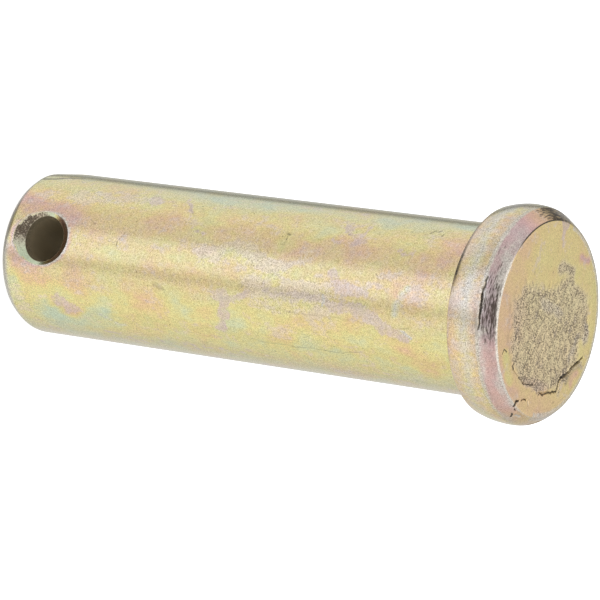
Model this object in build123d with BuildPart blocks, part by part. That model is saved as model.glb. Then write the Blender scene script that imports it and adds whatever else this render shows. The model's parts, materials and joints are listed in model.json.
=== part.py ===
from build123d import *

import os

# Headed clevis pin for a half-inch fork, with a cross hole for a split pin.
# It is one piece of plated steel: a cold-headed blank with its point cut to a chamfer and
# its hole drilled through and countersunk from both sides. All sizes are in millimetres.
#
# The origin is the centre of the head's bearing face, which seats on the fork's ear.
# +Z runs up through the head and the shank hangs down -Z. The cross hole runs along Y.

# Shank
shank_diameter = 12.55
shank_length = 41.3  # bearing face to tip
neck_fillet = 0.35  # in the corner under the head

# Point
point_length = 0.65  # chamfer, along the pin
point_setback = 0.42  # chamfer, across the pin
point_round = 0.8  # rolled corner where the chamfer meets the shank

# Head
head_diameter = 15.8  # at the crown of its upset side
head_height = 3.9
head_crown = 0.06  # how far the side swells past its own ends
bevel_height = 1.0
bevel_width = 0.87
shoulder_round = 0.5  # between the bevel and the side
face_round = 0.15  # between the bevel and the end face
bearing_round = 0.5  # between the side and the bearing face

# Cross hole
hole_diameter = 3.57
hole_to_tip = 3.7
countersink_diameter = 5.2
countersink_angle = 110

shank_radius = shank_diameter / 2
head_radius = head_diameter / 2
side_radius = head_radius - head_crown
face_radius = side_radius - bevel_width
bevel_foot = head_height - bevel_height


def corner_edge(blank, radius, height):
    """The round edge of a turned blank that stands at this radius and height."""
    edges = blank.edges().filter_by(GeomType.CIRCLE)
    return min(
        edges,
        key=lambda edge: abs(edge.radius - radius) + abs(edge.arc_center.Z - height),
    )


with BuildPart() as clevis_pin:
    # Half the turned outline, from the tip up to the middle of the end face.
    with BuildSketch(Plane.XZ):
        with BuildLine():
            Polyline(
                (0, head_height),
                (0, -shank_length),
                (shank_radius - point_setback, -shank_length),
                (shank_radius, point_length - shank_length),
                (shank_radius, 0),
                (side_radius, 0),
            )
            ThreePointArc(
                (side_radius, 0),
                (head_radius, bevel_foot / 2),
                (side_radius, bevel_foot),
            )
            Polyline(
                (side_radius, bevel_foot),
                (face_radius, head_height),
                (0, head_height),
            )
        make_face()
    revolve(axis=Axis.Z)

    # The upset head has no sharp corner, and the shank runs into it on a small fillet.
    turned_corners = [
        (shank_radius, 0, neck_fillet),
        (shank_radius, point_length - shank_length, point_round),
        (side_radius, 0, bearing_round),
        (side_radius, bevel_foot, shoulder_round),
        (face_radius, head_height, face_round),
    ]
    for radius, height, rounding in turned_corners:
        fillet(corner_edge(clevis_pin, radius, height), rounding)

    # The split pin's hole, drilled through the shank and countersunk where it breaks out.
    hole_height = hole_to_tip - shank_length
    for side in (-1, 1):
        mouth = Plane(
            origin=(0, side * shank_radius, hole_height),
            x_dir=(1, 0, 0),
            z_dir=(0, side, 0),
        )
        with Locations(mouth):
            CounterSinkHole(
                hole_diameter / 2,
                countersink_diameter / 2,
                depth=shank_diameter,
                counter_sink_angle=countersink_angle,
            )

clevis_pin.part.label = "clevis_pin"

os.makedirs("parts", exist_ok=True)
export_step(clevis_pin.part, "parts/clevis_pin.step")
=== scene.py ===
# %% [markdown]
# # A clevis pin in yellow zinc
#
# The pin is one piece of steel: a shank, an upset head with a bevelled rim, a chamfered point
# and a cross hole for a split pin. It is plated with zinc and dipped in yellow chromate.
#
# The packed model gives every size and place. This script makes one finely meshed pin round
# it, gives that pin the marks of shearing, heading and handling, and then its plating.

# %% Load the packed model
import json
import math

import bpy
import numpy as np
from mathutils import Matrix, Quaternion, Vector, noise


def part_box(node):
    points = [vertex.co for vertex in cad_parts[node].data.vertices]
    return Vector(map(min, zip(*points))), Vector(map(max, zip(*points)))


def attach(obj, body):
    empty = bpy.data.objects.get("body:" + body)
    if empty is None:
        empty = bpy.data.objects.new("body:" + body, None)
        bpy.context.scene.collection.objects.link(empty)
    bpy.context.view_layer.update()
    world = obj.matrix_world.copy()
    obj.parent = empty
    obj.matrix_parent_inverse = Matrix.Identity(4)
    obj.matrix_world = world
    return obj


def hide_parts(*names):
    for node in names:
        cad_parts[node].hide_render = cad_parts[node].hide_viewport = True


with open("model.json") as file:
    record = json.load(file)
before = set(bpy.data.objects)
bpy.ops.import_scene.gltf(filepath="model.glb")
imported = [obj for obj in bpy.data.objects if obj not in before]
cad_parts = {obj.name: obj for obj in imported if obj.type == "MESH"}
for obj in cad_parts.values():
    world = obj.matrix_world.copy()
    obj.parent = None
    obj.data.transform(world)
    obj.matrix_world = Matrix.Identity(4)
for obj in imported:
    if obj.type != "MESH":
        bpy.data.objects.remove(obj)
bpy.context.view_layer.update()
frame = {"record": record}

bpy.ops.object.select_all(action="DESELECT")

# %% [markdown]
# ## Sizes
#
# Blender works in metres here, so a millimetre gets a name. The shank, the hole and the head
# take their sizes from the packed record and the CAD box. The cuts at the point and round
# the head are small and are written here once. A hair is the slack for finding a place.

# %% Sizes of the pin
MM = 0.001
mounts = {mount["name"]: mount for mount in frame["record"]["mounts"]}
low, high = (Vector(corner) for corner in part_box("clevis_pin"))

shank_radius = mounts["shank"]["dims"]["r_mm"] * MM
hole_radius = mounts["split_pin_hole"]["dims"]["r_mm"] * MM
hole_height = mounts["split_pin_hole"]["pos_m"][2]
head_radius = high.x
tip_height, face_height = low.z, high.z

point_length, point_setback = 0.65 * MM, 0.42 * MM
bevel_height, bevel_width = 1.15 * MM, 0.82 * MM
side_radius = head_radius + 0.03 * MM
face_radius = head_radius - bevel_width
shoulder_height = face_height - bevel_height
hair = 0.001 * MM
print("shank radius", shank_radius / MM, "head radius", round(head_radius / MM, 2), "mm")

# %% [markdown]
# ## The turned blank
#
# A headed blank is round everywhere. A cylinder primitive would give its three sizes, but no
# control over its corners, so the blank grows from one ring of vertices at the tip. The ring
# is extruded, lifted and scaled from corner to corner, like a profile on a lathe.

# %% Helpers that select by place
def read(items, name, width=3, kind=float):
    """One property of all these vertices, edges or faces, a row for each."""
    values = np.empty(len(items) * width, kind)
    items.foreach_get(name, values)
    return values.reshape(-1, width)


def coords(piece):
    """The positions of the piece's vertices."""
    return read(piece.data.vertices, "co")


def edge_ends(piece):
    """The positions of both ends of every edge."""
    return coords(piece)[read(piece.data.edges, "vertices", 2, int)]


def rounds(spots):
    """The distance of each spot from the pin's axis."""
    return np.hypot(spots[..., 0], spots[..., 1])


def edit(piece, part, chosen):
    """Opens edit mode with only the chosen vertices, edges or faces selected."""
    mesh = piece.data
    kinds = {"VERT": mesh.vertices, "EDGE": mesh.edges, "FACE": mesh.polygons}
    for items in kinds.values():
        items.foreach_set("select", np.zeros(len(items), bool))
    kinds[part].foreach_set("select", chosen)
    bpy.context.view_layer.objects.active = piece
    bpy.ops.object.mode_set(mode="EDIT")
    bpy.ops.mesh.select_mode(type=part)


def leave_edit():
    """Goes back to object mode, so that the mesh data is up to date."""
    bpy.ops.object.mode_set(mode="OBJECT")


print("the packed pin has", len(coords(bpy.data.objects["clevis_pin"])), "vertices")


# %% Turn a profile
def turn(name, corners, points):
    """A closed solid of revolution whose outline visits these (radius, height) corners."""
    radius, height = corners[0]
    bpy.ops.mesh.primitive_circle_add(vertices=points, radius=radius, fill_type="NGON")
    piece = bpy.context.object
    piece.name = name
    bpy.ops.object.mode_set(mode="EDIT")
    bpy.ops.mesh.select_all(action="SELECT")
    bpy.ops.transform.translate(value=(0, 0, height))
    bpy.ops.mesh.poke()
    bpy.ops.mesh.select_all(action="SELECT")
    leave_edit()
    edit(piece, "VERT", rounds(coords(piece)) > radius / 2)
    for next_radius, next_height in corners[1:]:
        bpy.ops.mesh.extrude_edges_move()
        bpy.ops.transform.translate(value=(0, 0, next_height - height))
        scale = next_radius / radius
        bpy.ops.transform.resize(value=(scale, scale, 1), center_override=(0, 0, 0))
        radius, height = next_radius, next_height
    bpy.ops.mesh.edge_face_add()
    bpy.ops.mesh.poke()
    bpy.ops.mesh.select_all(action="SELECT")
    bpy.ops.mesh.normals_make_consistent(inside=False)
    leave_edit()
    print(name + ":", len(piece.data.polygons), "faces")
    return piece


# %% The blank
widest_height, taper = 1.9 * MM, 0.35 * MM


def side_at(height):
    """The radius of the head's barrel-shaped side."""
    return side_radius - taper * (height / widest_height - 1) ** 2


bevel_middle = (head_radius - 0.41 * MM, face_height - 0.5 * MM)
blank_corners = [
    (shank_radius - point_setback, tip_height),
    (shank_radius, tip_height + point_length),
    (shank_radius, 0),
    *((side_at(height), height) for height in np.linspace(0, shoulder_height, 10)),
    bevel_middle,
    (face_radius, face_height),
]
pin = turn("clevis_pin_plated", blank_corners, points=320)
print("widest", round(side_at(widest_height) / MM, 2), "mm")
print("at the face", round(face_radius / MM, 2), "mm")

# %% [markdown]
# ## Rounded corners
#
# Steel pressed into a die fills the corners only so far, and no edge of the blank is sharp.
# A bevel modifier would round every corner alike. Each corner ring is picked by its place
# and bevelled in edit mode instead, wide where the metal flowed freely, narrow at the face.

# %% Round the corners
corner_roundings = [
    (shank_radius - point_setback, tip_height, 0.08 * MM, 2),
    (shank_radius, tip_height + point_length, 0.24 * MM, 4),
    (shank_radius, 0, 0.35 * MM, 4),
    (side_at(0), 0, 0.16 * MM, 5),
    (side_at(shoulder_height), shoulder_height, 0.18 * MM, 5),
    (*bevel_middle, 0.3 * MM, 4),
    (face_radius, face_height, 0.13 * MM, 5),
]
for radius, height, width, segments in corner_roundings:
    ends = edge_ends(pin)
    at_corner = np.hypot(rounds(ends) - radius, ends[..., 2] - height) < 2 * hair
    edit(pin, "EDGE", at_corner.all(axis=1))
    bpy.ops.mesh.bevel(offset=width, segments=segments, affect="EDGES")
    leave_edit()
print("rounded:", len(pin.data.polygons), "faces")

# %% [markdown]
# ## A fine mesh
#
# Dents, cracks and painted stains live on vertices, so the long faces are divided until
# their vertices stand a few tenths of a millimetre apart, closest on the head's face.

# %% Divide the long faces
def divide(piece, step, radius_from=0, height_from=-1, height_to=1):
    """Cuts the edges from ring to ring within these bounds into lengths of about a step."""
    ends = edge_ends(piece)
    radius, height = rounds(ends), ends[..., 2]
    reach = np.ptp(radius, axis=1) + np.ptp(height, axis=1)
    inside = (radius > radius_from) & (height > height_from) & (height < height_to)
    chosen = (reach > 1.5 * step) & inside.all(axis=1)
    edit(piece, "EDGE", chosen)
    bpy.ops.mesh.subdivide(number_cuts=round(reach[chosen].max() / step) - 1)
    leave_edit()
    print("divided:", len(piece.data.polygons), "faces")


divide(pin, 0.3 * MM, radius_from=0.99 * shank_radius, height_to=-0.2 * MM)
divide(pin, 0.14 * MM, height_from=face_height - hair)
divide(pin, 0.4 * MM, height_to=tip_height + hair)
divide(pin, 0.16 * MM, radius_from=0.95 * side_radius)
divide(pin, 0.14 * MM, radius_from=face_radius - 0.1 * MM, height_from=shoulder_height)

# %% [markdown]
# ## The cross hole
#
# The hole is drilled through, and a countersink breaks its rim on both sides. A cutter in
# the shape of drill and countersinks together is turned like the blank and taken away with
# a Boolean, so the saddle-shaped rim comes out as it does on the real shank.

# %% Cutter for the hole and its countersinks
sink_radius, sink_angle = 2.6 * MM, math.radians(110)
sink_slope = math.tan(sink_angle / 2)
sink_foot = shank_radius - (sink_radius - hole_radius) / sink_slope
cutter_end = shank_radius + 0.6 * MM
reaches = np.append(0, np.linspace(0.02 * MM, cutter_end - sink_foot, 8))
cone = [(hole_radius + reach * sink_slope, sink_foot + reach) for reach in reaches]
wall = [(hole_radius, height) for height in np.linspace(-sink_foot, sink_foot, 30)[1:-1]]
cutter_corners = [(radius, -height) for radius, height in reversed(cone)] + wall + cone
cutter = turn("drill", cutter_corners, points=120)
edit(cutter, "VERT", np.ones(len(cutter.data.vertices), bool))
bpy.ops.transform.rotate(value=math.pi / 2, orient_axis="X", center_override=(0, 0, 0))
bpy.ops.transform.translate(value=(0, 0, hole_height))
leave_edit()
print("countersink from", round(sink_foot / MM, 2), "mm off the axis")

# %% Take the cutter away from the pin
bpy.ops.object.select_all(action="DESELECT")
bpy.context.view_layer.objects.active = pin
drill = pin.modifiers.new("drill", "BOOLEAN")
drill.operation = "DIFFERENCE"
drill.solver = "EXACT"
drill.object = cutter
bpy.ops.object.modifier_apply(modifier="drill")
bpy.data.objects.remove(cutter)
print("drilled:", len(pin.data.polygons), "faces")

# %% [markdown]
# ## Places on the pin
#
# Every mark is a stroke: a broken line of a few points on the surface, with a width. On the
# shank and the head a point is an angle from the hole, in degrees, and a height, in
# millimetres above the bearing face. On the end face it is x and y in millimetres. Strokes
# are measured from a copy of the vertices shaken by smooth noise, so no mark has a ruled edge.
# The noise gets a seed, or every run would shake them another way.

# %% Points on the pin
def around(radius, *places):
    """Points on a ring surface of this radius in mm, each given as (angle, height)."""
    line = []
    for angle, height in places:
        turned = math.radians(angle)
        line.append((radius * math.sin(turned), -radius * math.cos(turned), height))
    return np.array(line) * MM


def on_shank(*places):
    """Points on the shank, each given as (angle, height)."""
    return around(shank_radius / MM, *places)


def on_face(*places):
    """Points on the head's end face, each given as (x, y) in millimetres."""
    return np.array([(x * MM, y * MM, face_height) for x, y in places])


def gap_to(spots, line):
    """The distance from each spot to the nearest point of a broken line."""
    nearest = np.full(len(spots), np.inf)
    for start, end in zip(line[: max(1, len(line) - 1)], line[1:] if len(line) > 1 else line):
        along = end - start
        share = np.clip((spots - start) @ along / max(along @ along, 1e-12), 0, 1)
        gap = np.linalg.norm(spots - start - share[:, None] * along, axis=1)
        nearest = np.minimum(nearest, gap)
    return nearest


print("the hole's middle, in mm:", (on_shank((0, hole_height / MM))[0] / MM).round(2))


# %% Strokes
shake_seed = 4
noise.seed_set(shake_seed)


def shaken(piece, *shakes):
    """The vertices moved along the surface by noise, one (grain size, amount) in mm a time."""
    spots = coords(piece)
    facing = read(piece.data.vertex_normals, "vector")
    for size, amount in shakes:
        drift = np.array([noise.noise_vector(Vector(spot) / (size * MM)) for spot in spots])
        drift -= facing * (drift * facing).sum(axis=1, keepdims=True)
        spots = spots + amount * MM * drift
    return spots


def turns(spots):
    """The angle of each spot round the pin's axis in degrees, 0 at the hole."""
    return np.degrees(np.arctan2(spots[:, 0], -spots[:, 1]))


def smooth(share):
    """Turns a straight ramp into one with soft ends."""
    share = np.clip(share, 0, 1)
    return share * share * (3 - 2 * share)


def stroke(spots, line, width, edge):
    """1 along the line, falling to 0 across a soft edge at this half width."""
    return smooth((width * MM - gap_to(spots, line)) / (edge * MM) + 0.5)


print("the noise has seed", shake_seed)

# %% [markdown]
# ## Cracks, nicks and grooves
#
# Heading leaves the end face with a pitted middle and fine cracks, and the shear that cut
# the bar leaves one side of the point rolled over. These are real dents in the mesh: faces
# near a mark are divided first, and a Displace modifier then presses in a vertex group that
# holds how deep each vertex goes.

# %% Lines of the marks
long_crack = on_face((1.55, 5.85), (2.2, 5.15), (3.1, 4.2), (3.55, 3.55), (4.0, 3.3), (4.6, 3.15))
crack_end = on_face((4.6, 3.15), (4.75, 2.6), (5.1, 1.7), (5.25, 1.1), (5.5, 0.85))
crack_branch = on_face((4.75, 2.6), (4.95, 1.7), (5.3, 0.5))
crack_hook = on_face((3.95, -3.35), (4.2, -3.5), (4.4, -3.3))
curved_crack = on_face((4.75, -2.4), (5.0, -1.7), (5.0, -0.9), (4.8, -0.1))
chip = np.vstack([around(7.72, (103, 3.05)), around(7.6, (107, 3.22)), around(7.5, (111, 3.38))])
groove = around(7.8, (-8, 2.84), (1, 2.8), (9, 2.82), (14, 2.87), (19, 2.9))
crack_length = np.linalg.norm(np.diff(long_crack, axis=0), axis=1).sum()
print("long crack:", round(float(crack_length) / MM, 1), "mm")

# %% Marks on the head: line, depth, half width, layer, how strong it is
marks = [
    (long_crack, 0.18, 0.09, "soot", 0.85),
    (crack_end, 0.12, 0.05, "soot", 0.75),
    (crack_branch, 0.08, 0.03, "soot", 0.5),
    (crack_hook, 0.10, 0.05, "soot", 0.8),
    (on_face((4.4, -3.3), (4.75, -2.4)), 0.06, 0.03, "soot", 0.4),
    (curved_crack, 0.10, 0.03, "soot", 0.75),
    (on_face((-1.25, 5.45), (-0.45, 5.65), (0.1, 5.6)), 0.03, 0.05, "soot", 0.5),
    (on_face((6.5, -2.1), (6.38, -1.7)), 0.14, 0.05, "soot", 0.9),
    (on_face((6.28, -1.35), (6.12, -1.0), (6.1, -0.7)), 0.12, 0.035, "soot", 0.75),
    (on_face((6.95, -2.0), (6.5, -2.15)), 0.15, 0.10, "soot", 1.0),
    (on_face((6.12, -0.45), (6.35, -0.15)), 0.04, 0.04, "bare", 0.6),
    (on_face((3.6, -5.3), (3.35, -5.1), (3.4, -4.7)), 0.05, 0.03, "soot", 0.85),
    (around(7.2, (75.5, 3.78), (77.5, 3.66)), 0.08, 0.05, "soot", 0.8),
    (around(7.5, (78, 3.5), (80.5, 3.3)), 0.06, 0.08, "soot", 0.9),
    (around(7.5, (84, 3.35), (86, 3.45)), 0.06, 0.05, "soot", 0.6),
    # The bare stroke beside the nick on the bevel is a painted highlight.
    (around(7.35, (81, 3.6), (85, 3.6)), 0.03, 0.08, "bare", 0.9),
    (chip, 0.08, 0.10, "soot", 0.95),
    (groove, 0.08, 0.06, "soot", 0.75),
    (groove[1:4], 0.12, 0.075, "soot", 0.8),
]
print(len(marks), "marks on the head")

# %% Marks on the shank
marks += [
    (on_shank((-24, -15.7), (-18, -15.65), (-11, -15.7)), 0.03, 0.035, "soot", 0.5),
    (on_shank((-26.5, -15.9), (-25, -15.6)), 0.05, 0.06, "soot", 0.6),
    (on_shank((-22.5, -15.7), (-21.5, -15.72)), 0.03, 0.06, "soot", 0.6),
    (on_shank((-46.5, -4.2), (-42.5, -4.6)), 0.03, 0.06, "soot", 0.7),
    (on_shank((-48, -3.8), (-45, -4.0)), 0.03, 0.05, "soot", 0.6),
    (on_shank((-45, -3.3), (-42, -3.5)), 0.03, 0.05, "soot", 0.7),
    (on_shank((-49, -3.1), (-47, -3.3)), 0.02, 0.04, "soot", 0.5),
    (on_shank((-42, -25.6), (-37, -25.2), (-31, -24.6)), 0.03, 0.08, "soot", 0.42),
    (on_shank((-40, -24.4), (-36, -23.9), (-31, -23.7)), 0.03, 0.07, "soot", 0.42),
    (on_shank((-18, -33.4), (-15, -32.9)), 0.03, 0.08, "soot", 0.45),
    (on_shank((22, -26.4), (24, -25.6)), 0.03, 0.14, "soot", 0.4),
    (on_shank((28, -4.6), (27, -3.9)), 0.03, 0.06, "soot", 0.42),
    (on_shank((-11, -30.0), (-5, -30.2), (0, -30.4)), 0.02, 0.05, "soot", 0.6),
    (on_shank((-10, -29.8), (-4, -29.95), (0, -30.2)), 0.02, 0.03, "bare", 0.7),
    # Bare strokes with levels above 1 are scratches carrying a painted highlight.
    (on_shank((13, -11.3), (17, -11.15), (20, -11.3)), 0.03, 0.07, "bare", 1.4),
    (on_shank((14, -10.9), (18, -10.85), (21, -11.1)), 0.02, 0.05, "soot", 0.42),
    (on_shank((54, -18.3), (54.5, -15), (54, -12), (52, -8.3)), 0.02, 0.05, "soot", 0.45),
    (on_shank((27, -17.5), (27.6, -13), (26.8, -8.2)), 0.02, 0.045, "soot", 0.35),
    (on_shank((30, -4.5), (33, -3.8)), 0.02, 0.07, "bare", 1.4),
    (on_shank((92, -40.3), (97, -40.1)), 0.04, 0.1, "soot", 0.9),
]
print(len(marks), "marks in all")

# %% Finer faces by the marks
finer_within = 0.28 * MM
middles = read(pin.data.polygons, "center")
near = np.min([gap_to(middles, line) for line, *_ in marks], axis=0) < finer_within
edit(pin, "FACE", near)
bpy.ops.mesh.subdivide(number_cuts=2)
leave_edit()
print("finer:", len(pin.data.polygons), "faces")


# %% [markdown]
# ## Pressing in
#
# Sculpting would do this by hand, but it can't be repeated. A Displace modifier moves each
# vertex along its normal by its weight in a vertex group, and can be applied like any other.

# %% Press the marks in
least_depth = 0.0005 * MM


def press(name, depths, direction="NORMAL", way=-1):
    """Moves each vertex by its depth, inwards or along X, with a Displace modifier."""
    deepest = depths.max()
    group = pin.vertex_groups.new(name=name)
    for number in np.flatnonzero(depths > least_depth):
        group.add([int(number)], depths[number] / deepest, "REPLACE")
    bpy.context.view_layer.objects.active = pin
    dent = pin.modifiers.new(name, "DISPLACE")
    dent.vertex_group = name
    dent.mid_level = 0
    dent.direction = direction
    dent.strength = way * deepest
    bpy.ops.object.modifier_apply(modifier=name)
    pin.vertex_groups.remove(pin.vertex_groups[name])
    print(name, "to", round(deepest / MM, 3), "mm")


wavy = shaken(pin, (1.2, 0.16), (0.35, 0.09))
mark_edge, cover_extra = 0.10, 0.02
depths = np.zeros(len(wavy))
covers = []
for line, depth, width, layer, level in marks:
    depths = np.maximum(depths, depth * MM * stroke(wavy, line, width, mark_edge))
    covers.append((layer, stroke(wavy, line, width + cover_extra, mark_edge), level))
press("marks", depths)

# %% [markdown]
# ## The sheared point
#
# The bar was cropped to length before it was headed. The blade rolled one side of the end
# over, so there the point's chamfer starts later and the outline is flatter. The shank is
# pushed that way along X near the tip, and only in the quarter turn where the blade came in.

# %% Roll over the sheared side of the point
spots = coords(pin)
from_tip = (spots[:, 2] - tip_height) / MM
roll = np.interp(from_tip, [0, 0.5, 0.85, 1.3, 2.0, 2.7], [0.27, 0.28, 0.23, 0.16, 0.07, 0])
blade_side, blade_reach = -92, 28
sheared = smooth(1.3 - abs(turns(spots) - blade_side) / blade_reach)
press("rolled_point", roll * sheared * MM, direction="X", way=1)

# %% [markdown]
# ## The head's bulge
#
# A cold-headed rim bulges like a barrel and never quite evenly: the metal flows further to
# the side where the punch leans. A tenth of a millimetre along X is enough to see.

# %% Shift the head's bulge to one side
lean = np.interp(spots[:, 2] / MM, [-0.02, 0, 1.6, 2.8, 3.1], [0, 0.13, 0.11, 0.05, 0])
press("lean", lean * MM * smooth((rounds(spots) / MM - 6.6) / 0.6), direction="X")

# %% [markdown]
# ## The rough middle of the face
#
# The cropped end of the bar stays rough in the middle of the head, where the punch hardly
# works it. The rough patch is an outline of a few points, and noise presses shallow pits
# inside it. The finest pits are left to the material.

# %% Pit the middle of the end face
pitted_outline = on_face(
    (4.1, -3.6), (2.9, -4.8), (1.5, -5.35), (0.15, -5.5), (-1.0, -5.0), (-1.8, -4.3),
    (-2.11, -1.69), (-2.81, 0.59), (-3.46, 2.29), (-3.0, 3.74), (-2.32, 5.49), (-0.55, 5.99),
    (0.37, 5.25), (1.63, 5.37), (2.89, 4.4), (4.41, 2.77), (5.14, 0.78), (5.11, -1.46), (4.1, -3.6),
)


def within(spots, outline, edge):
    """1 inside an outline on the end face, falling to 0 across a soft edge."""
    inside = np.zeros(len(spots), bool)
    for start, end in zip(outline, outline[1:]):
        crosses = (start[1] > spots[:, 1]) != (end[1] > spots[:, 1])
        slope = (end[0] - start[0]) / (end[1] - start[1] + 1e-12)
        inside ^= crosses & (spots[:, 0] < start[0] + slope * (spots[:, 1] - start[1]))
    depth = np.where(inside, 1, -1) * gap_to(spots * (1, 1, 0) + (0, 0, face_height), outline)
    return smooth(depth / (edge * MM) + 0.5)


spots = coords(pin)
on_end = (spots[:, 2] > face_height - 0.3 * MM) & (rounds(spots) < face_radius)
wavy = shaken(pin, (1.2, 0.3), (0.35, 0.12))
pit_grain, pit_depth = 0.33 * MM, 0.045 * MM
pitted = within(wavy, pitted_outline, 0.9) * on_end
chatter = np.array([noise.noise(Vector(spot) / pit_grain) for spot in spots])
press("pits", pit_depth * pitted * smooth(chatter + 0.4))

# %% [markdown]
# ## The map of the plating
#
# Yellow chromate is a film a few hundred nanometres thick, and light playing in it turns it
# straw, gold, rose, lilac or green as its thickness changes. One number for every vertex,
# the film, is enough to say which. Image textures could hold it, but a vertex attribute
# needs no unwrapping and follows the mesh. More numbers say where there is a sharp stain,
# and where the surface is rubbed, bare, pitted or scraped, dark with soot, or painted with
# highlights and shade.

# %% Empty layers
spots = coords(pin)
heights = spots[:, 2] / MM
radii = rounds(spots)
angles = turns(spots)
wavy = shaken(pin, (4.0, 0.8), (1.3, 0.4), (0.5, 0.16))
layer_names = ("film", "unrest", "stain", "rubbed", "bare", "soot", "pitted", "streaked", "bore")
layers = {name: np.zeros(len(spots)) for name in layer_names}


def lay(layer, cover, level):
    """Brings a layer to a level where cover is 1, whatever it was."""
    layers[layer] += (level - layers[layer]) * cover


def by_angle(stops, levels):
    """A level that changes round the pin, with a ragged course."""
    return np.interp(turns(wavy), stops, levels)


def by_height(stops, levels):
    """A level that changes along the pin, with a ragged course."""
    return np.interp(wavy[:, 2] / MM, stops, levels)


print(len(layers), "layers on", len(spots), "vertices")

# %% [markdown]
# ## The shank's colours
#
# The pins hang in the dip in a heap, so the film changes round the shank more than along it.
# A curve by angle gives the ground colour. Soft strokes then thicken or thin the film in
# single places, such as the rose bloom round the hole and the green one below it.

# %% Film on the shank
angle_stops = [-180, -140, -100, -70, -54, -42, -30, -16, -4, 12, 25, 40, 58, 75, 110, 150, 180]
film_by_angle = [
    0.45, 0.3, 0.5, 0.24, 0.19, 0.32, 0.43, 0.49, 0.41, 0.45, 0.41, 0.35, 0.29, 0.36, 0.4, 0.6, 0.45
]
layers["film"] += by_angle(angle_stops, film_by_angle)
layers["unrest"] += 1.0
layers["bare"] += by_angle(
    [-110, -75, -44, -26, -14, 0, 16, 27, 34, 58, 66, 76, 86, 120],
    [0.3, 0.4, 0.38, 0.3, 0.4, 0.3, 0.34, 0.34, 0.12, 0.12, 0.28, 0.42, 0.5, 0.3],
)
print("ground film", min(film_by_angle), "to", max(film_by_angle))

# %% Tints on the shank: line, half width, film, edge
tints = [
    (on_shank((-25, -40.5), (-22, -38), (-17, -35.6)), 0.9, 0.76, 1.3),
    (on_shank((-14, -34.6), (-12, -32)), 0.7, 0.58, 1.2),
    (on_shank((15, -40.4), (22, -39.6), (26, -38.2)), 0.7, 0.76, 1.0),
    (on_shank((30, -39), (28, -36), (27, -34)), 0.9, 0.54, 1.2),
    (on_shank((-22, -31), (-18, -27), (-14, -23)), 0.9, 0.53, 1.5),
    (on_shank((-15, -21), (-18, -17)), 0.8, 0.58, 1.3),
    (on_shank((-21, -16), (-23, -11.5), (-19, -7.5)), 0.9, 0.62, 1.4),
    (on_shank((-34, -1.5), (-20, -2.8), (-9, -2.2)), 1.2, 0.62, 1.3),
    (on_shank((0, -8), (2, -2)), 0.9, 0.56, 1.2),
    (on_shank((53, -38.5), (55, -34.5), (51, -31), (44, -31.5)), 0.8, 0.1, 1.5),
    (on_shank((44, -36.1), (45.5, -35.1), (48, -34.3)), 0.7, 0.5, 0.8),
    (on_shank((50, -31), (51, -27)), 0.7, 0.24, 1.5),
    (on_shank((34, -24.5), (50, -24)), 0.9, 0.22, 1.6),
    (on_shank((-53, -37), (-50, -30.5)), 0.9, 0.38, 1.4),
    (on_shank((-55, -23.5), (-53, -18), (-52, -15.5)), 0.6, 0.1, 1.2),
    (on_shank((-50, -13), (-49, -8)), 0.4, 0.17, 1.0),
    (on_shank((-30, -16), (-36, -13)), 1.3, 0.34, 1.5),
    (on_shank((40, -4.2), (54, -3.0)), 1.1, 0.5, 1.4),
]
for line, width, level, edge in tints:
    for side in (1, -1):
        lay("film", stroke(wavy, line * (side, side, 1), width, edge), level)
print("film", round(layers["film"].min(), 2), "to", round(layers["film"].max(), 2))

# %% [markdown]
# ## Stains and rubbing
#
# Drops that dried on the warm film left lilac stains with sharp, ragged outlines. They are
# strokes too, but in a layer of their own: the material sharpens its edge with noise, finer
# than the mesh could carry. Each is laid once more half a turn on, for the side that faces
# away. Rubbing against other pins has broken the film up in the middle, and worn the point.

# %% Stains
stains = [
    (on_shank((44, -36.0), (45.5, -35.1), (47.5, -34.4)), 0.5, 0.9),
    (on_shank((23, -20.7), (26, -20.2), (29, -19.9)), 0.46, 1.0),
    (on_shank((29, -19.9), (26, -18.9), (22, -17.8)), 0.28, 1.0),
    (on_shank((29, -19.9), (38, -20.3), (50, -20.9)), 0.32, 1.0),
    (on_shank((-23, -12.2), (-23, -10.9)), 0.26, 0.9),
    (on_shank((-38, -11.3), (-33, -10.4), (-28, -9.2)), 0.34, 0.9),
    (on_shank((-39, -9.6), (-30, -9.9), (-25, -10.2)), 0.3, 0.9),
    (on_shank((-25, -6), (-26, -4.4)), 0.24, 0.8),
    (on_shank((-49, -29.5), (-40, -28.9)), 0.34, 0.9),
    (on_shank((-44, -26.0), (-36, -25.2), (-30, -25.0)), 0.16, 0.9),
    (on_shank((-22, -24), (-19, -22.8)), 0.26, 0.9),
    (on_shank((1, -10.8), (6, -9.6), (9, -8.4)), 0.5, 0.85),
    (on_shank((10, -10.2), (11, -8.8)), 0.45, 0.85),
    (on_shank((21, -10.6), (23.5, -9.0), (26.5, -7.4), (29.5, -5.8), (31.5, -4.2)), 0.42, 0.95),
    (on_shank((12, -17), (15, -14), (17, -11)), 0.35, 0.75),
    (on_shank((68, -33), (72, -31), (71, -27), (72, -24), (68, -20)), 0.2, 0.6),
]
for line, width, level in stains:
    for side in (1, -1):
        lay("stain", stroke(wavy, line * (side, side, 1), width, 0.8), level)
print(len(stains), "stains on either side of the pin")

# %% Rubbed places
rubs = [
    (on_shank((13, -18), (12, -14), (14, -11)), 0.9, 0.9),
    (on_shank((25, -17), (26, -11)), 0.5, 0.7),
    (on_shank((-6, -22), (-4, -15.5)), 0.7, 1.0),
    (on_shank((2, -8), (0, -2)), 0.8, 0.5),
    (on_shank((-38, -36), (-40, -30)), 0.9, 0.5),
    (on_shank((40, -16), (42, -12)), 0.7, 0.35),
    (on_shank((36, -40.2), (56, -39.8)), 0.4, 0.8),
]
for line, width, level in rubs:
    for side in (1, -1):
        lay("rubbed", stroke(wavy, line * (side, side, 1), width, 1.2), level)
print(len(rubs), "rubbed places on either side")

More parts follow.
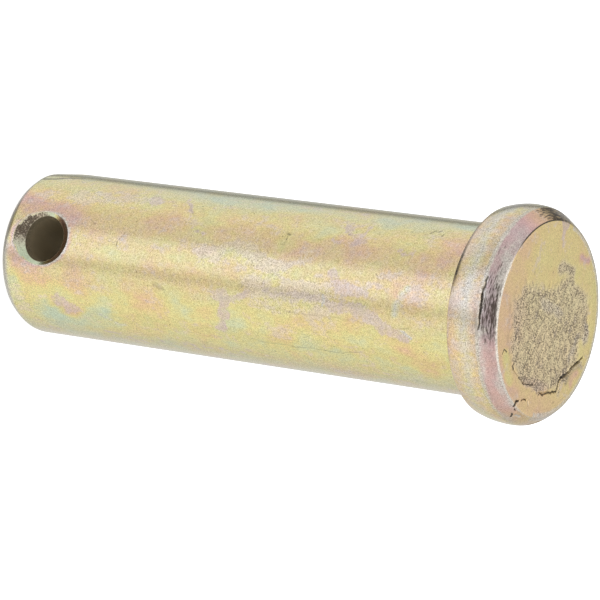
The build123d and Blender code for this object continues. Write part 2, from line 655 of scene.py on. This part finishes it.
# %% Faint lines and the worn tip
faint = [
    # The first faint line is a painted shadow along the corner of the point.
    ("soot", on_shank((-50, -41), (-54, -39.8), (-59, -38.6), (-63, -37.2)), 0.2, 0.66),
    ("soot", on_shank((66, -34), (72, -31), (70, -24), (66, -19)), 0.3, 0.26),
    ("bare", on_shank((19.5, -4.8), (10.5, -4.4), (-2, -4.1)), 0.14, 0.8),
    ("film", on_shank((19.5, -4.8), (10.5, -4.4), (-2, -4.1)), 0.14, 0.1),
    ("bare", on_shank((51, -32.4), (54.5, -31.2), (56, -30.2)), 0.14, 0.75),
    ("bare", on_shank((-46, -34.5), (-39, -33.5), (-37, -32)), 0.1, 0.7),
]
for layer, line, width, level in faint:
    lay(layer, stroke(wavy, line, width, 0.35), level)
near_tip = smooth((tip_height / MM + 1.1 - heights) / 0.7)
lay("bare", near_tip * smooth((angles + 10) / 20), 0.85)
on_chamfer = (heights < tip_height / MM + 0.5) & (radii > shank_radius - point_setback - 0.1 * MM)
lay("bare", on_chamfer, 0.85)
# Painted shade on the upper part of the chamfer.
lay("soot", on_chamfer * smooth(1.5 - abs(angles + 44) / 22), 0.34)
print(len(faint), "faint lines,", int(on_chamfer.sum()), "vertices on the chamfer")

# %% [markdown]
# ## The head's side and bevel
#
# The bulging side was squeezed against the die and is streaked all round; a painted highlight
# makes it palest where it bulges most. On the bevel the film is thick: rose at the top,
# lilac-grey in the middle. Both edges of the bevel are painted bright as highlights, the top of
# the face's rim gets a painted dark line, and painted shade darkens the corner under the head.

# %% Parts of the head
bevel_foot = shoulder_height + 0.08 * MM
shoulder_gap = np.hypot(radii - side_at(shoulder_height), spots[:, 2] - shoulder_height) / MM
rim_gap = np.hypot(radii - face_radius, spots[:, 2] - face_height) / MM
rear_gap = np.hypot(radii - side_at(0), spots[:, 2]) / MM
on_end = (heights > face_height / MM - 0.3) & (radii < face_radius)
on_head = (heights > 0.02) & (radii > shank_radius) | on_end
on_bevel = on_head & (spots[:, 2] > bevel_foot) & ~on_end
on_side = on_head & ~on_bevel & ~on_end
for layer in ("film", "bare", "unrest", "rubbed", "soot"):
    layers[layer] *= ~on_head
for part, inside in {"side": on_side, "bevel": on_bevel, "face": on_end}.items():
    print(part + ":", int(inside.sum()), "vertices")

# %% Side of the head
side_heights = [0, 0.6, 1.1, 1.5, 1.9, 2.3, 2.6]
side_film = by_height(side_heights, [0.62, 0.62, 0.5, 0.36, 0.52, 0.62, 0.56])
side_film += by_angle([-75, -56, -46, 20, 45, 90], [-0.3, -0.2, 0, 0, -0.08, -0.12])
# The bare layer peaks where the side bulges most: a painted highlight.
side_highlight = by_height(side_heights, [0.35, 0.45, 0.68, 0.85, 0.55, 0.4, 0.55])
layers["film"] += on_side * side_film
layers["bare"] += on_side * side_highlight * by_angle([20, 36, 90], [1, 0.62, 0.5])
layers["rubbed"] += on_side * by_angle([-70, -40, 0, 60, 90], [0.3, 0.5, 0.7, 0.5, 0.3])
layers["unrest"] += on_side * 0.8
# Painted shade beside the groove.
groove_shade = around(7.85, (9, 2.45), (14, 2.55), (19, 2.7), (23, 2.88))
lay("soot", stroke(spots, groove_shade, 0.16, 0.3) * on_side, 0.42)
print("side film", round(side_film.min(), 2), "to", round(side_film.max(), 2))

# %% Bevel of the head
bevel_angles = [-105, -75, -62, -54, -46, -36, -20, -8, 20, 30, 60, 78, 95, 120]
bevel_film = [0.45, 0.5, 0.64, 0.78, 0.88, 0.9, 0.93, 0.97, 0.97, 0.84, 0.79, 0.66, 0.5, 0.6]
# Pale zinc on the bevel, brightest at its edges as a painted highlight.
bevel_bare_and_highlight = by_height([2.8, 2.95, 3.1, 3.45, 3.6, 3.8], [0.7, 0.45, 0.3, 0.3, 0.5, 0.75])
bevel_bare_and_highlight *= by_angle([-60, -45, -30, -20, 20, 30], [0, 0.4, 0.7, 1.1, 1.1, 0.9])
layers["film"] += on_bevel * by_angle(bevel_angles, bevel_film)
layers["bare"] += on_bevel * bevel_bare_and_highlight
layers["unrest"] += on_bevel * 0.35
print("bevel film", round(min(bevel_film), 2), "to", max(bevel_film))

# %% Its edges
above, below = abs(angles + 35) / 28, abs(angles - 45) / 28
# Painted highlights along the shoulder, the rim of the face and round the lower rim.
lay("bare", smooth(1.4 - shoulder_gap / 0.14) * (0.3 + 0.6 * smooth(1.4 - above)), 1.0)
lay("bare", smooth(1.4 - shoulder_gap / 0.14) * 0.5 * smooth(1.4 - below), 1.0)
lay("bare", smooth(1.5 - rim_gap / 0.1) * smooth(1.6 - abs(angles - 28) / 46), 1.1)
lay("bare", smooth((0.5 - rim_gap) / 0.25) * (abs(angles) > 95), 0.7)
# A painted dark reflection along the upper part of the face's rim.
lay("soot", smooth(1.5 - rim_gap / 0.07) * smooth(1.5 - abs(angles + 62) / 34), 0.9)
lay("soot", smooth(1.5 - abs(rim_gap - 0.55) / 0.1) * (abs(angles) > 95) * on_end, 0.36)
# Painted shade in the corner under the head.
rear_shade = by_angle([-64, -54, -35, -24, -9, -2, 5], [0, 0.66, 0.6, 0.7, 0.85, 0.45, 0])
lay("soot", smooth((0.5 - rear_gap) / 0.22) * (rear_shade > 0), rear_shade)
print("rubbed to bare metal:", int((layers["bare"] > 0.9).sum()), "vertices")

# %% [markdown]
# ## Drag marks
#
# Under the groove the die has dragged along the bevel and left a bundle of dark, fine lines,
# densest near the face. There is a second bundle at the top of the bevel.

# %% Drag marks
drag_angles = [-34, -20, -10, 0, 8, 16, 22, 28, 34]
drag_heights = [2.75, 2.9, 3.2, 3.4, 3.6, 3.75, 3.9]
dragged = by_angle(drag_angles, [0, 0.45, 0.6, 0.86, 1.04, 1.04, 0.9, 0.4, 0])
dragged *= by_height(drag_heights, [0, 0.68, 0.68, 0.82, 0.88, 0.8, 0.4])
layers["streaked"] = dragged
lay("streaked", smooth(1.5 - abs(turns(wavy) + 82) / 17), 0.85)
layers["streaked"] *= on_bevel
for layer, cover, level in covers:
    layers[layer] = np.maximum(layers[layer], cover * level)
print("streaked:", int((layers["streaked"] > 0.5).sum()), "vertices")

# %% [markdown]
# ## The end face
#
# The face is gold, more orange to one side and below. Its middle is roughened by the cropped
# bar end under it: the pits themselves are noise in the material, this layer says where.

# %% The end face
end_film = np.interp(wavy[:, 1] / MM, [-6.8, -5.2, -3, 2, 6], [0.6, 0.55, 0.42, 0.42, 0.38])
end_film += np.interp(wavy[:, 0] / MM, [-6.8, -4, 3, 6.5], [0.02, -0.02, 0.04, 0.16])
layers["film"] += on_end * end_film
layers["unrest"] += on_end * 0.4
face_stains = [
    ("stain", on_face((-6.7, -1.1), (-6.8, -0.1)), 0.3, 1.0),
    ("stain", on_face((-6.6, -0.6), (-6.1, -0.55)), 0.25, 1.0),
    ("stain", on_face((-6.1, -0.55), (-5.4, -0.45)), 0.12, 0.9),
    ("soot", on_face((-6.75, -0.9), (-6.6, -0.3)), 0.2, 0.3),
    ("film", on_face((-4.9, 3.0), (-5.2, 4.1)), 0.28, 0.8),
    ("film", on_face((2.6, 5.6), (3.4, 4.8)), 0.3, 0.7),
    ("bare", on_face((-1.2, 5.5), (0.0, 5.8)), 0.3, 0.75),
    ("bare", on_face((-1.3, -1.2), (-0.8, 1.2)), 0.5, 0.6),
    ("bare", on_face((0.2, 4.6), (1.8, 4.3)), 0.35, 0.6),
    ("film", on_face((4.6, 1.5), (5.0, -1.5)), 0.5, 0.66),
    ("film", on_face((5.9, -3.0), (5.2, -4.2)), 0.4, 0.62),
    ("film", on_face((3.5, -5.0), (5.0, -4.0)), 0.4, 0.34),
    ("soot", on_face((1.8, 6.0), (2.4, 5.2), (3.1, 4.5), (3.55, 4.1)), 0.25, 0.5),
]
for layer, line, width, level in face_stains:
    lay(layer, stroke(wavy, line, width, 0.6) * on_end, level)
print(len(face_stains), "stains on the end face")

# %% Its pitted part
inner = within(wavy, pitted_outline * 0.8, 1.8)
layers["pitted"] = within(wavy, pitted_outline, 0.7) * (0.95 - 0.1 * inner) * on_end
pitted_strokes = [
    (on_face((-3.85, 0.4), (-3.7, 1.9)), 0.48, 1.1),
    (on_face((-1.0, 5.5), (0.1, 5.9)), 0.3, 1.15),
    (long_crack, 0.15, 1.1),
    (on_face((4.6, -2.6), (5.0, -1.2), (4.9, 0.5)), 0.3, 1.05),
]
for line, width, level in pitted_strokes:
    lay("pitted", stroke(wavy, line, width, 0.6) * on_end, level)
print("pitted:", int((layers["pitted"] > 0.5).sum()), "vertices")

# %% [markdown]
# ## The hole
#
# The bath hardly reaches into the hole, so its wall is dull; its brown is also painted shade,
# darker further in. The countersink is pale green, with a spatter of pits, and darker on its
# upper side, and its lip carries a painted highlight.

# %% The hole
hole_gap = np.hypot(spots[:, 0], spots[:, 2] - hole_height)
by_hole = heights < -33
bored = by_hole & (hole_gap < hole_radius + 0.01 * MM)
lay("bore", bored * smooth((sink_foot + 0.12 * MM - abs(spots[:, 1])) / (0.1 * MM)), 1.0)
sunk = by_hole & (hole_gap < sink_radius) & (radii < shank_radius - 0.004 * MM) & ~bored
sink_levels = {"film": -0.3, "bare": 0.0, "rubbed": 0.0, "unrest": 0.2, "stain": 0.0}
for layer, level in sink_levels.items():
    lay(layer, sunk, level)
hole_angles = np.degrees(np.arctan2(spots[:, 0], hole_height - spots[:, 2]))
lay("pitted", sunk * smooth(1.5 - abs(hole_angles + 35) / 50), 1.5)
lay("soot", sunk * smooth(1.6 - abs(hole_angles + 20) / 38), 0.44)
# Painted shade, darker deeper in the bore.
lay("soot", bored * smooth((abs(spots[:, 1]) - sink_foot) / (1.4 * MM) + 1), 0.6)
lay("film", sunk * smooth(1.5 - abs(abs(hole_angles) - 170) / 60), 0.8)
lip_gap = (hole_gap - hole_radius - (abs(spots[:, 1]) - sink_foot) * sink_slope) / MM
lip = by_hole & ~sunk & ~bored
# A painted highlight round the lip, brightest to the sides of the hole.
lay("film", lip * smooth(1.5 - lip_gap / 0.3), 0.75)
lay("bare", lip * smooth(1.5 - lip_gap / 0.1), 0.7 + 0.6 * smooth(abs(hole_angles) / 60 - 1))
print("bored:", int(bored.sum()), "vertices, sunk:", int(sunk.sum()))

# %% Write the layers
for name, values in layers.items():
    attribute = pin.data.attributes.new(name, "FLOAT", "POINT")
    attribute.data.foreach_set("value", values)
    print(name, round(float(values.min()), 2), "to", round(float(values.max()), 2))

# %% [markdown]
# ## Handing the piece over
#
# The mesh is done. It is shaded smooth, but only across edges of less than 35 degrees, so
# the bevel's edges and the cracks stay crisp. It rides on the one body and takes the place of
# the packed pin.

# %% Finish the mesh
crease_angle = math.radians(35)
bpy.ops.object.select_all(action="DESELECT")
pin.select_set(True)
bpy.context.view_layer.objects.active = pin
bpy.ops.object.shade_smooth_by_angle(angle=crease_angle)
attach(pin, "root")
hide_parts("clevis_pin")
print("triangles:", sum(len(face.vertices) - 2 for face in pin.data.polygons))

# %% [markdown]
# ## Sums that become nodes
#
# A material of this kind is mostly arithmetic. Placing Math nodes by hand is slow and hard
# to read, so a small class stands for one socket. Adding, subtracting or multiplying two of
# them adds a Math node and gives back its output, and any other node comes from one method.
# Colours are easier to name as they look on a screen, so a helper makes them linear.


# %% A socket that can be used in sums
class Wire:
    """A socket of a node tree. Sums on wires add Math nodes."""

    def __init__(self, tree, socket=None):
        self.tree = tree
        self.socket = socket

    def node(self, kind, settings=None, sockets=None, output=0):
        """Adds a node: its settings first, then a value or a wire for each socket."""
        made = self.tree.nodes.new(kind)
        for name, value in (settings or {}).items():
            if name == "stops":
                ramp = made.color_ramp.elements
                while len(ramp) < len(value):
                    ramp.new(0.5)
                for stop, (place, colour) in zip(ramp, value):
                    stop.position = place
                    stop.color = colour
            else:
                setattr(made, name, value)
        for name, value in (sockets or {}).items():
            if isinstance(value, Wire):
                self.tree.links.new(value.socket, made.inputs[name])
            else:
                made.inputs[name].default_value = value
        return Wire(self.tree, made.outputs[output])

    def maths(self, operation, *terms):
        return self.node("ShaderNodeMath", {"operation": operation}, dict(enumerate(terms)))

    def __add__(self, other):
        return self.maths("ADD", self, other)

    def __sub__(self, other):
        return self.maths("SUBTRACT", self, other)

    def __mul__(self, other):
        return self.maths("MULTIPLY", self, other)

    def __rsub__(self, other):
        return self.maths("SUBTRACT", other, self)

    __radd__ = __add__
    __rmul__ = __mul__

    def ramp(self, low, high):
        """0 below low, 1 above high and a smooth rise between."""
        sockets = {"Value": self, "From Min": low, "From Max": high}
        return self.node("ShaderNodeMapRange", {"interpolation_type": "SMOOTHSTEP"}, sockets)

    def mixed(self, share, first, second):
        """A colour: the first where share is 0, the second where it is 1."""
        sockets = {0: share, 6: first, 7: second}
        return self.node("ShaderNodeMix", {"data_type": "RGBA"}, sockets, output=2)

    def noise(self, place, grain, detail=2.0, roughness=0.5):
        """Noise with this grain size in mm."""
        sockets = {"Vector": place, "Scale": 1 / (grain * MM), "Detail": detail}
        return self.node("ShaderNodeTexNoise", {}, {**sockets, "Roughness": roughness})

    def feed(self, socket):
        """Links the wire to the input of a node that is already there."""
        self.tree.links.new(self.socket, socket)


print("a wire can:", ", ".join(name for name in vars(Wire) if "_" not in name))


# %% Colours as they look
def tone(red, green, blue):
    """A linear colour from one given as it looks on a screen, 0 to 255."""
    return tuple(
        part / 3294.6 if part <= 10 else ((part / 255 + 0.055) / 1.055) ** 2.4
        for part in (red, green, blue)
    ) + (1.0,)


lilac, scuffed, pale_zinc_and_highlight, rough_zinc = (
    tone(209, 187, 182), tone(222, 208, 192), tone(210, 205, 194), tone(226, 209, 184)
)
pit_brown, scraped, dull_bore_and_shade, dark_soot_and_shade = (
    tone(84, 70, 56), tone(70, 58, 50), tone(165, 152, 124), tone(50, 43, 34)
)
print("half grey on a screen is", round(tone(128, 128, 128)[0], 3), "in the shader")

# %% [markdown]
# ## Noise at several grains
#
# The plating is one metal under one film, so it is one material. Noise in several sizes
# stands for what happened at that size: broad flow of the bath, mottling, flecks, and the
# crystal grain of zinc. All of it reads Object coordinates, so it sits still on the pin.

# %% Layers and noises
plating = bpy.data.materials.new("yellow_zinc")
plating.use_nodes = True
pin.data.materials.clear()
pin.data.materials.append(plating)
shader = plating.node_tree.nodes["Principled BSDF"]
skin = Wire(plating.node_tree)
place = skin.node("ShaderNodeTexCoord", output="Object")
layer = {
    name: skin.node("ShaderNodeAttribute", {"attribute_name": name}, output="Fac")
    for name in layers
}
stretched = skin.node("ShaderNodeMapping", {}, {"Vector": place, "Scale": (1, 1, 0.4)})
ringed = skin.node("ShaderNodeMapping", {}, {"Vector": place, "Scale": (0.13, 0.13, 1)})
scored = skin.node("ShaderNodeMapping", {}, {"Vector": place, "Scale": (1, 0.6, 1)})
broad = skin.noise(place, 3.2, 3.0, 0.6)
flow = skin.noise(stretched, 1.0, 4.0, 0.6)
mottle = skin.noise(place, 0.5, 3.0, 0.65)
grain = skin.noise(place, 0.09, 1.0, 0.6)
fleck = skin.noise(place, 0.2, 2.0, 0.6)
chips = skin.noise(scored, 0.1, 2.0, 0.6)
drag = skin.noise(ringed, 0.075, 2.0, 0.6)
print(len(layer), "layers read,", len(plating.node_tree.nodes), "nodes so far")

# %% [markdown]
# ## The colours of the film
#
# The thin film colours the light that the zinc below sends back. A real interference
# spectrum could be worked out, but the eye only knows a row of colours: green-white, straw,
# gold, orange, rose, lilac. A colour ramp holds that row, and noise stirs the film a little.

# %% Colour of the film
unrest = (broad - 0.5) * 0.75 + (flow - 0.5) * 0.6 + (mottle - 0.5) * 0.15
film = layer["film"] + unrest * layer["unrest"]
film_stops = [
    (0.0, tone(198, 209, 180)),
    (0.16, tone(212, 212, 167)),
    (0.32, tone(223, 212, 148)),
    (0.46, tone(227, 204, 146)),
    (0.6, tone(226, 193, 152)),
    (0.72, tone(219, 181, 162)),
    (0.86, tone(209, 174, 171)),
    (1.0, tone(190, 171, 172)),
]
colour = skin.node("ShaderNodeValToRGB", {"stops": film_stops}, {"Fac": film})
print(len(film_stops), "colours in the film")

# %% [markdown]
# ## Stained, rubbed and bare
#
# A stain has a sharp, ragged edge, so its layer and some noise pass through a steep ramp. A
# rubbed place breaks up into patches, and a bare one shows the paler zinc; the same paler zinc
# paints the highlights along the head's edges and its bulge. Each of them is mixed over the
# film in the order in which it happened.

# %% Stains, rubbing and bare metal
ragged = (mottle - 0.5) * 1.1 + (grain - 0.5) * 0.5
stain = (layer["stain"] + (flow - 0.5) * 0.5 + ragged).ramp(0.34, 0.7)
rub = (flow - 0.5) * 1.6 + (mottle - 0.5) * 0.8 + (fleck - 0.5) * 0.2 + layer["rubbed"] * 0.45
bare = (layer["bare"] + ragged * (0.3 + 0.6 * layer["bare"])).ramp(0.1, 1.0)
colour = skin.mixed(stain * (mottle * 0.8 + fleck * 0.5), colour, lilac)
colour = skin.mixed(rub.ramp(0.08, 0.36) * 0.5, colour, scuffed)
colour = skin.mixed(bare * 0.9, colour, pale_zinc_and_highlight)
colour = skin.mixed(layer["pitted"] * 0.6, colour, rough_zinc)
print(len(plating.node_tree.nodes), "nodes so far")

# %% [markdown]
# ## The grain of the zinc
#
# Close up, zinc glitters: each crystal sends the light a little another way. That is too
# fine for the mesh, so noise makes the colour lighter and darker from grain to grain, most
# where the film is gone, and leaves a few dark specks.

# %% Grain and specks
speckle = fleck.ramp(0.66, 0.72) * 0.4 + chips.ramp(0.69, 0.74) * 0.4
# Where the bare layer goes above 1.1 the colour is lifted: a painted highlight on scratches, the
# rim and the hole's lip.
glint = layer["bare"].ramp(1.1, 1.6) * 0.16
glitter = 0.65 + 0.35 * layer["unrest"] + 0.8 * layer["bare"] + 0.5 * layer["rubbed"]
shade = (1.0 + glint + (grain - 0.5) * glitter + (fleck - 0.5) * 0.2) * (1.0 - speckle)
colour = skin.node("ShaderNodeVectorMath", {"operation": "SCALE"}, {0: colour, "Scale": shade})
print(len(plating.node_tree.nodes), "nodes so far")

# %% [markdown]
# ## Pits, drag marks and soot
#
# What is dark comes last, over film and grain. Pits fill the rough middle of the face, the
# drag marks are the same noise drawn out round the axis, and soot lies in the cracks and marks.
# The same layer also carries painted shade: in the corner under the head, beside the groove,
# along the top of the face's rim, along the point and deeper in the hole. The countersink is
# darker on its upper side.

# %% Dark places
pits = (chips - 0.5) * 2.0 + (mottle - 0.5) * 0.6 + (flow - 0.5) * 0.6
pits = pits + layer["pitted"] * 0.4
pits = pits.ramp(0.26, 0.58) * layer["pitted"].ramp(0.0, 0.3)
streak = (layer["streaked"] + (drag - 0.5) * 2.6 + (grain - 0.5) * 0.6).ramp(0.38, 1.0)
soot = (layer["soot"] + (grain - 0.5) * 0.6 + (fleck - 0.5) * 0.4).ramp(0.2, 0.9)
colour = skin.mixed(pits * (0.46 + 0.3 * layer["pitted"]), colour, pit_brown)
colour = skin.mixed(streak * 0.9, colour, scraped)
colour = skin.mixed(layer["bore"], colour, dull_bore_and_shade)
colour = skin.mixed(soot, colour, dark_soot_and_shade)
print(len(plating.node_tree.nodes), "nodes so far")

# %% [markdown]
# ## Metal, gloss and relief
#
# Under its film the surface is metal all over, less so where soot, painted shade or the dull
# bore covers it. Gloss follows the grain. A Bump node gives the grain and the finest pits some
# relief.

# %% Connect the shader
colour.feed(shader.inputs["Base Color"])
metal = 1.0 - soot * 0.6 - layer["bore"] * 0.5
metal.feed(shader.inputs["Metallic"])
rough = 0.13 + (grain - 0.5) * 0.16 + layer["pitted"] * 0.15 + soot * 0.2 + layer["bore"] * 0.4
rough.feed(shader.inputs["Roughness"])
relief = {"Height": grain - pits, "Distance": 0.006 * MM, "Strength": 1.0}
skin.node("ShaderNodeBump", {}, relief).feed(shader.inputs["Normal"])
print(len(plating.node_tree.nodes), "nodes in the finish")

# %% [markdown]
# ## The floor
#
# The pin stands on its point on a large white sheet. The sheet glows a little, as if it were
# lit from below, and it doesn't show in the metal, where the light tent already draws
# everything that the pin mirrors. It lies a little lower than the point, because two faces
# in the same place would flicker.

# %% Floor
floor_side, floor_drop = 6.0, 0.02 * MM
bpy.ops.mesh.primitive_plane_add(size=floor_side, location=(0, 0, tip_height - floor_drop))
floor = bpy.context.object
floor.name = "floor"
floor.visible_glossy = False
paper = bpy.data.materials.new("white_paper")
paper.use_nodes = True
paper_shader = paper.node_tree.nodes["Principled BSDF"]
paper_shader.inputs["Base Color"].default_value = (0.9, 0.9, 0.9, 1)
paper_shader.inputs["Roughness"].default_value = 0.9
paper_shader.inputs["Emission Color"].default_value = (1, 1, 1, 1)
paper_shader.inputs["Emission Strength"].default_value = 0.6
floor.data.materials.append(paper)
print("floor:", floor_side, "m square")

# %% [markdown]
# ## A light tent
#
# Small shiny parts are lit inside a tent of white cloth, with a lamp strip, gaps and darker
# seams that draw bands along the metal. Area lights could stand for each of these, but a
# round part mirrors the whole room, so the tent is the world itself: its brightness is a sum
# of bands by bearing (the compass angle, 0 in front of the hole) and by rise above the floor.

# %% Directions in the tent
world = bpy.data.worlds.new("light_tent")
bpy.context.scene.world = world
world.use_nodes = True
backdrop = world.node_tree.nodes["Background"]
air = Wire(world.node_tree)
direction = air.node("ShaderNodeTexCoord", output="Generated")
way_x, way_y, way_z = (
    air.node("ShaderNodeSeparateXYZ", {}, {0: direction}, output=axis) for axis in "XYZ"
)
bearing = air.maths("ARCTAN2", way_x, way_y * -1.0) * (180 / math.pi)
rise = air.maths("ARCSINE", way_z) * (180 / math.pi)


def band(angle, centre, half_width, softness):
    """1 within half_width of the centre, falling smoothly to 0 over the softness."""
    away = air.maths("ABSOLUTE", air.maths("WRAP", angle - centre, -180.0, 180.0))
    return 1.0 - away.ramp(half_width, half_width + softness)


print(len(world.node_tree.nodes), "nodes give bearing and rise")

# %% Brightness of the cloth
low_bands = [
    (180, 25, 48, -0.30),
    (-43, 10, 25, -0.12),
    (-109, 16, 16, -0.05),
    (-162, 12, 8, -0.12),
    (22, 2, 7, -0.16),
    (60, 15, 30, 0.05),
    (107, 14, 16, -0.07),
    (160, 8, 10, 0.06),
]
high_bands = [(180, 40, 60, 0.03), (95, 40, 30, 0.07), (-171, 30, 30, 0.05)]
strip = band(bearing, -8, 17, 3)
low_cloth = 0.98 + 0.18 * strip
for centre, half_width, softness, gain in low_bands:
    low_cloth = low_cloth + gain * band(bearing, centre, half_width, softness)
high_cloth = 0.80 + 0.4 * band(rise, 90, 27, 20)
for centre, half_width, softness, gain in high_bands:
    high_cloth = high_cloth + gain * band(bearing, centre, half_width, softness)
above = rise.ramp(15, 35)
tent = low_cloth * (1.0 - above) + high_cloth * above - 0.09 * band(rise, -8, 12, 10)
print(len(low_bands), "bands low in the tent,", len(high_bands), "high up")

# %% A seam, the ground and the cool lamp strip
seam = band(bearing, -138, 4, 6) * band(rise, -20, 35, 12)
ground = (0.15 + 0.45 * band(bearing, -90, 48, 26)) * band(rise, -73, 7, 9)
tent = tent * (1.0 - 0.53 * seam) * (1.0 - ground)
seen = air.node("ShaderNodeLightPath", output="Is Camera Ray")
cool = strip * (1.0 - above) * (1.0 - seen)
air.mixed(cool, (1, 1, 1, 1), (0.97, 1, 1.1, 1)).feed(backdrop.inputs["Color"])
brightness = tent * (1.0 - seen) + seen
brightness.feed(backdrop.inputs["Strength"])
print(len(world.node_tree.nodes), "nodes in the tent")

# %% [markdown]
# ## The camera
#
# The pin is shown lying down, head to the right and nearer. The camera looks down on it from
# the head's side with a long lens and is rolled, so the upright pin lies across the frame.

# %% Camera
camera_azimuth, camera_elevation = math.radians(8.57), math.radians(33.84)
camera_roll = math.radians(97.9)
camera_distance = 266 * MM
look_at = Vector((1.1 * MM, 0, -17.3 * MM))
back = Vector((
    math.sin(camera_azimuth) * math.cos(camera_elevation),
    -math.cos(camera_azimuth) * math.cos(camera_elevation),
    math.sin(camera_elevation),
))
bpy.ops.object.camera_add(location=look_at + camera_distance * back)
camera = bpy.context.object
camera.data.lens = 214.9
camera.data.clip_start = 0.01
turn_to_pin = back.to_track_quat("Z", "Y") @ Quaternion((0, 0, 1), camera_roll)
camera.rotation_euler = turn_to_pin.to_euler()
bpy.context.scene.camera = camera
bpy.context.scene.view_settings.view_transform = "Standard"
print("camera at", tuple(round(part / MM) for part in camera.location), "mm")

# %% [markdown]
